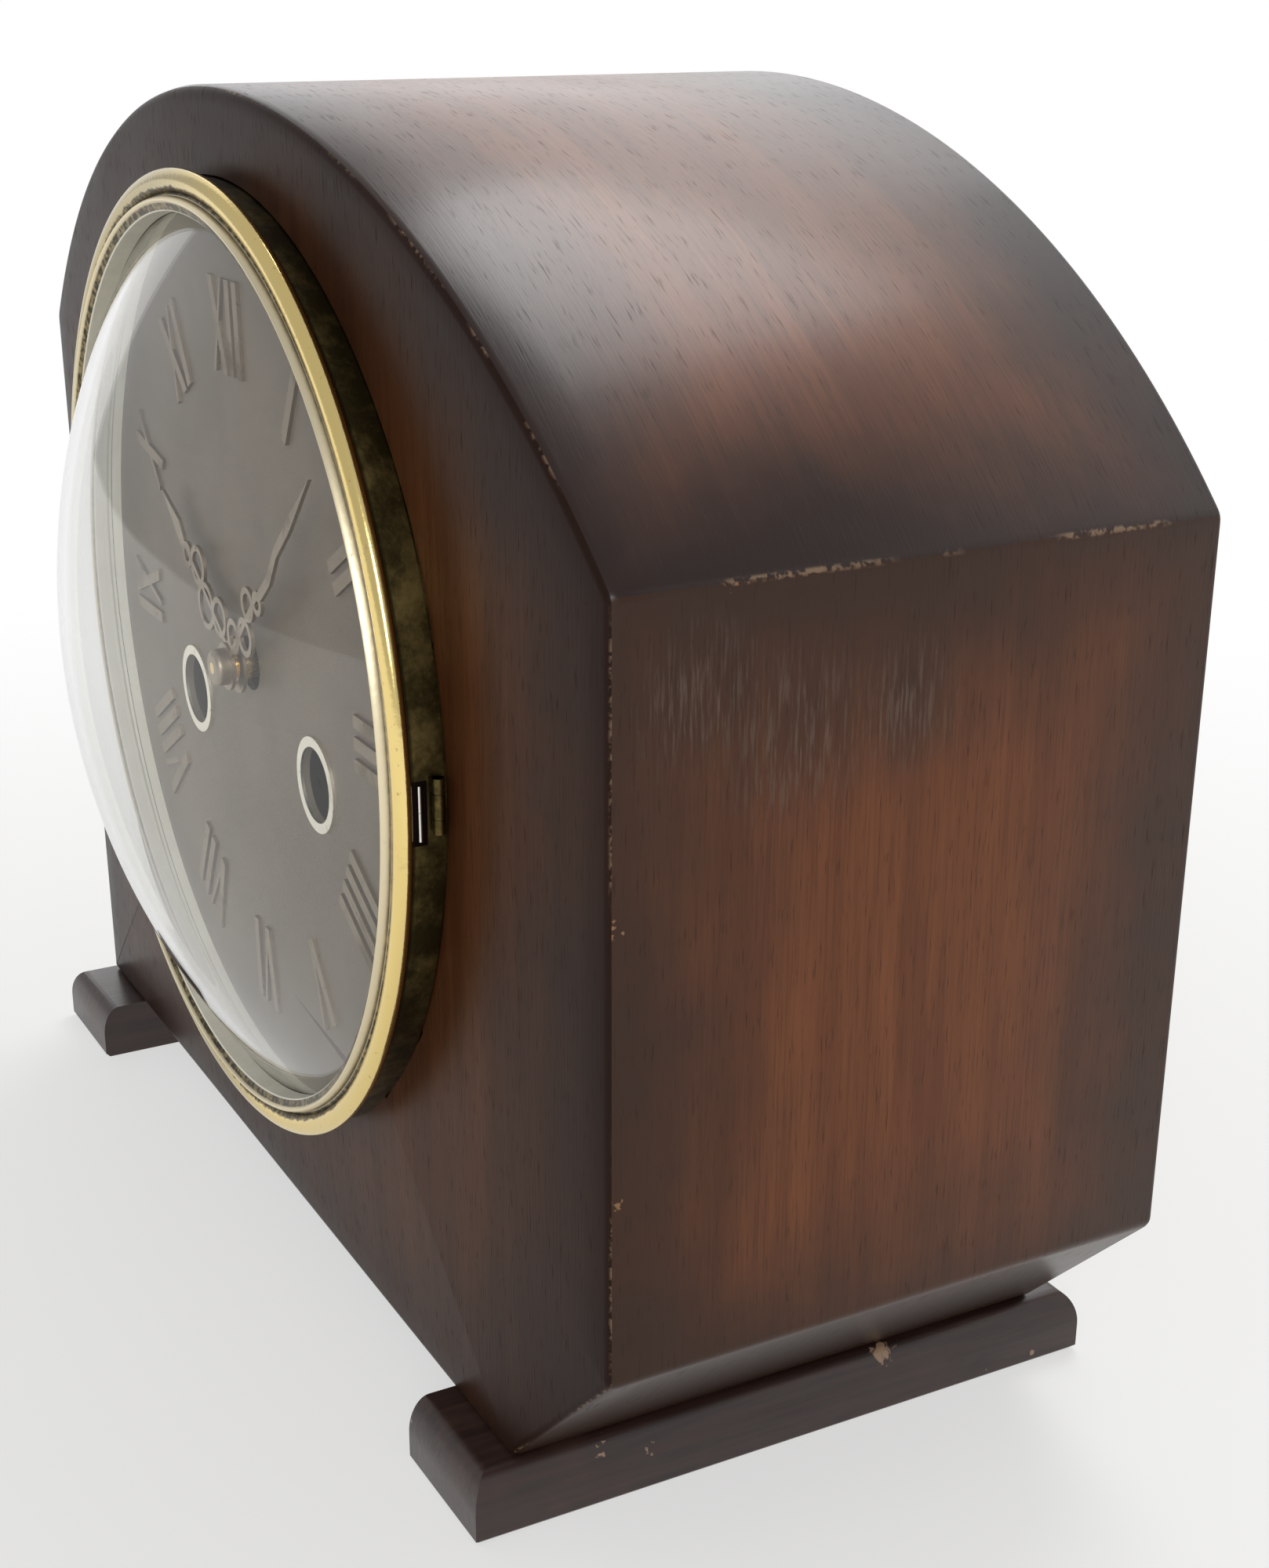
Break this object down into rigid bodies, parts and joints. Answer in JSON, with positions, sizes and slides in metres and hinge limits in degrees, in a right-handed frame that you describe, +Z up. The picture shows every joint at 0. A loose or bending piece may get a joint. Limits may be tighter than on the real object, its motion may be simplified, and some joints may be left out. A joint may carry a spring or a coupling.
{
  "type": "beehive shelf clock",
  "caption": "Low-arched wooden shelf clock with hinged domed-glass brass bezel, roman dial, pierced hands, striking movement, pendulum and back door.",
  "frame": {"origin": "on the floor, under the middle of the clock's bounding box", "axes": "+Z up, +X to the clock's right as seen from the front, the dial faces -Y"},
  "size_m": [0.233, 0.1318, 0.1984],
  "materials": {
    "veneer": "glossy lacquer, dark shaded edges",
    "foot_wood": "glossy lacquer",
    "back_wood": "matt stain",
    "bezel_brass": "polished roll, tarnished wall",
    "clear_glass": "polished",
    "dial_metal": "satin, aged silvering",
    "gilt": "satin gilt",
    "silver_ring": "bright",
    "hinge_brass": "satin",
    "plate_brass": "brushed",
    "wheel_brass": "polished",
    "steel": "brushed",
    "bob_brass": "polished",
    "iron": "painted"
  },
  "bodies": {
    "case": {"front_panel": "veneer", "arch_top": "veneer", "side_right": "veneer", "side_left": "veneer", "slant_right": "veneer", "bottom_board": "veneer", "foot_right": "foot_wood", "foot_left": "foot_wood", "back_board": "back_wood", "door_hinge_frame_leaves": "hinge_brass", "door_hinge_pins": "hinge_brass", "turn_button_screw": "hinge_brass", "dial_plate": "dial_metal", "dial_numerals": "gilt", "winding_hole_rings": "silver_ring", "bezel_base_ring": "bezel_brass", "bezel_hinge_pin": "bezel_brass", "movement_front_plate": "plate_brass", "movement_back_plate": "plate_brass", "plate_pillars": "plate_brass", "movement_standoffs": "plate_brass", "pillar_nuts": "steel", "suspension_cock": "plate_brass", "gong_block": "iron", "gong_rods": "steel"},
    "bezel": {"bezel_ring": "bezel_brass", "bezel_glass": "clear_glass", "glass_retainer": "bezel_brass"},
    "door": {"back_door": "back_wood", "door_hinge_door_leaves": "hinge_brass", "door_knob": "hinge_brass"},
    "button": {"turn_button": "hinge_brass"},
    "minute": {"minute_hand": "gilt", "hand_nut": "gilt", "cannon_pinion": "wheel_brass"},
    "minute_wheel": {"minute_wheel": "wheel_brass"},
    "hour": {"hour_hand": "gilt", "hour_wheel": "wheel_brass"},
    "time_barrel": {"time_barrel": "plate_brass", "time_mainspring": "steel"},
    "time_arbor": {"time_winding_arbor": "steel"},
    "time_click": {"time_click": "steel"},
    "centre": {"centre_wheel": "wheel_brass"},
    "third": {"third_wheel": "wheel_brass"},
    "escape": {"escape_wheel": "wheel_brass"},
    "pendulum": {"pendulum_rod": "steel", "suspension_spring": "steel", "pendulum_bob": "bob_brass", "rating_nut": "bob_brass"},
    "anchor": {"anchor_and_crutch": "steel"},
    "strike_barrel": {"strike_barrel": "plate_brass", "strike_mainspring": "steel"},
    "strike_arbor": {"strike_winding_arbor": "steel"},
    "strike_click": {"strike_click": "steel"},
    "pin_wheel": {"strike_pin_wheel": "wheel_brass"},
    "strike_third": {"strike_third_wheel": "wheel_brass"},
    "fly": {"fly": "wheel_brass"},
    "hammer": {"hammer": "steel", "hammer_head": "bob_brass"}
  },
  "joints": [
    {"name": "bezel_hinge", "type": "hinge", "parent": "case", "child": "bezel", "pos_m": [0.0765, -0.04005, 0.1098], "axis": [0, 0, 1], "range_deg": [0, 100]},
    {"name": "door_hinge", "type": "hinge", "parent": "case", "child": "door", "pos_m": [0.0593, 0.05985, 0.088], "axis": [0, 0, -1], "range_deg": [0, 105]},
    {"name": "turn_button_pivot", "type": "hinge", "parent": "case", "child": "button", "pos_m": [-0.065, 0.05925, 0.088], "axis": [0, 1, 0], "range_deg": [0, 90]},
    {"name": "minute_spin", "type": "hinge", "parent": "case", "child": "minute", "pos_m": [0, -0.04005, 0.1098], "axis": [0, 1, 0], "continuous": true},
    {"name": "minute_wheel_spin", "type": "hinge", "parent": "case", "child": "minute_wheel", "pos_m": [0, -0.02505, 0.0978], "axis": [0, 1, 0], "continuous": true},
    {"name": "hour_spin", "type": "hinge", "parent": "case", "child": "hour", "pos_m": [0, -0.04005, 0.1098], "axis": [0, 1, 0], "continuous": true},
    {"name": "time_barrel_spin", "type": "hinge", "parent": "case", "child": "time_barrel", "pos_m": [0.0285, -0.00505, 0.0978], "axis": [0, 1, 0], "continuous": true},
    {"name": "time_winding", "type": "hinge", "parent": "case", "child": "time_arbor", "pos_m": [0.0285, -0.03005, 0.0978], "axis": [0, 1, 0], "continuous": true},
    {"name": "time_click_pivot", "type": "hinge", "parent": "case", "child": "time_click", "pos_m": [0.0285, -0.02305, 0.1133], "axis": [0, -1, 0], "range_deg": [0, 12]},
    {"name": "centre_spin", "type": "hinge", "parent": "case", "child": "centre", "pos_m": [0, -0.00005, 0.1098], "axis": [0, 1, 0], "continuous": true},
    {"name": "third_spin", "type": "hinge", "parent": "case", "child": "third", "pos_m": [0.0051, -0.00005, 0.1289], "axis": [0, 1, 0], "continuous": true},
    {"name": "escape_spin", "type": "hinge", "parent": "case", "child": "escape", "pos_m": [0, -0.00005, 0.1441], "axis": [0, 1, 0], "continuous": true},
    {"name": "pendulum_swing", "type": "hinge", "parent": "case", "child": "pendulum", "pos_m": [0, 0.02595, 0.1611], "axis": [0, 1, 0], "range_deg": [-4, 4]},
    {"name": "anchor_swing", "type": "hinge", "parent": "case", "child": "anchor", "pos_m": [0, -0.00005, 0.1611], "axis": [0, 1, 0], "range_deg": [-4, 4]},
    {"name": "strike_barrel_spin", "type": "hinge", "parent": "case", "child": "strike_barrel", "pos_m": [-0.0285, -0.00505, 0.0978], "axis": [0, 1, 0], "continuous": true},
    {"name": "strike_winding", "type": "hinge", "parent": "case", "child": "strike_arbor", "pos_m": [-0.0285, -0.03005, 0.0978], "axis": [0, 1, 0], "continuous": true},
    {"name": "strike_click_pivot", "type": "hinge", "parent": "case", "child": "strike_click", "pos_m": [-0.0285, -0.02305, 0.1133], "axis": [0, -1, 0], "range_deg": [0, 12]},
    {"name": "pin_wheel_spin", "type": "hinge", "parent": "case", "child": "pin_wheel", "pos_m": [-0.0312, -0.00005, 0.1286], "axis": [0, 1, 0], "continuous": true},
    {"name": "strike_third_spin", "type": "hinge", "parent": "case", "child": "strike_third", "pos_m": [-0.0282, -0.00005, 0.1453], "axis": [0, 1, 0], "continuous": true},
    {"name": "fly_spin", "type": "hinge", "parent": "case", "child": "fly", "pos_m": [-0.0223, -0.00005, 0.1555], "axis": [0, 1, 0], "continuous": true},
    {"name": "hammer_lift", "type": "hinge", "parent": "case", "child": "hammer", "pos_m": [-0.034, 0.01995, 0.0678], "axis": [0, -1, 0], "range_deg": [0, 12]}
  ],
  "couplings": [
    {"joint": "minute_wheel_spin", "follows": "minute_spin", "ratio": -0.33333},
    {"joint": "hour_spin", "follows": "minute_spin", "ratio": 0.083333},
    {"joint": "centre_spin", "follows": "time_barrel_spin", "ratio": -7},
    {"joint": "third_spin", "follows": "time_barrel_spin", "ratio": 49},
    {"joint": "escape_spin", "follows": "time_barrel_spin", "ratio": -343},
    {"joint": "anchor_swing", "follows": "pendulum_swing", "ratio": 1},
    {"joint": "pin_wheel_spin", "follows": "strike_barrel_spin", "ratio": -7},
    {"joint": "strike_third_spin", "follows": "strike_barrel_spin", "ratio": 47.25},
    {"joint": "fly_spin", "follows": "strike_barrel_spin", "ratio": -283.5}
  ]
}
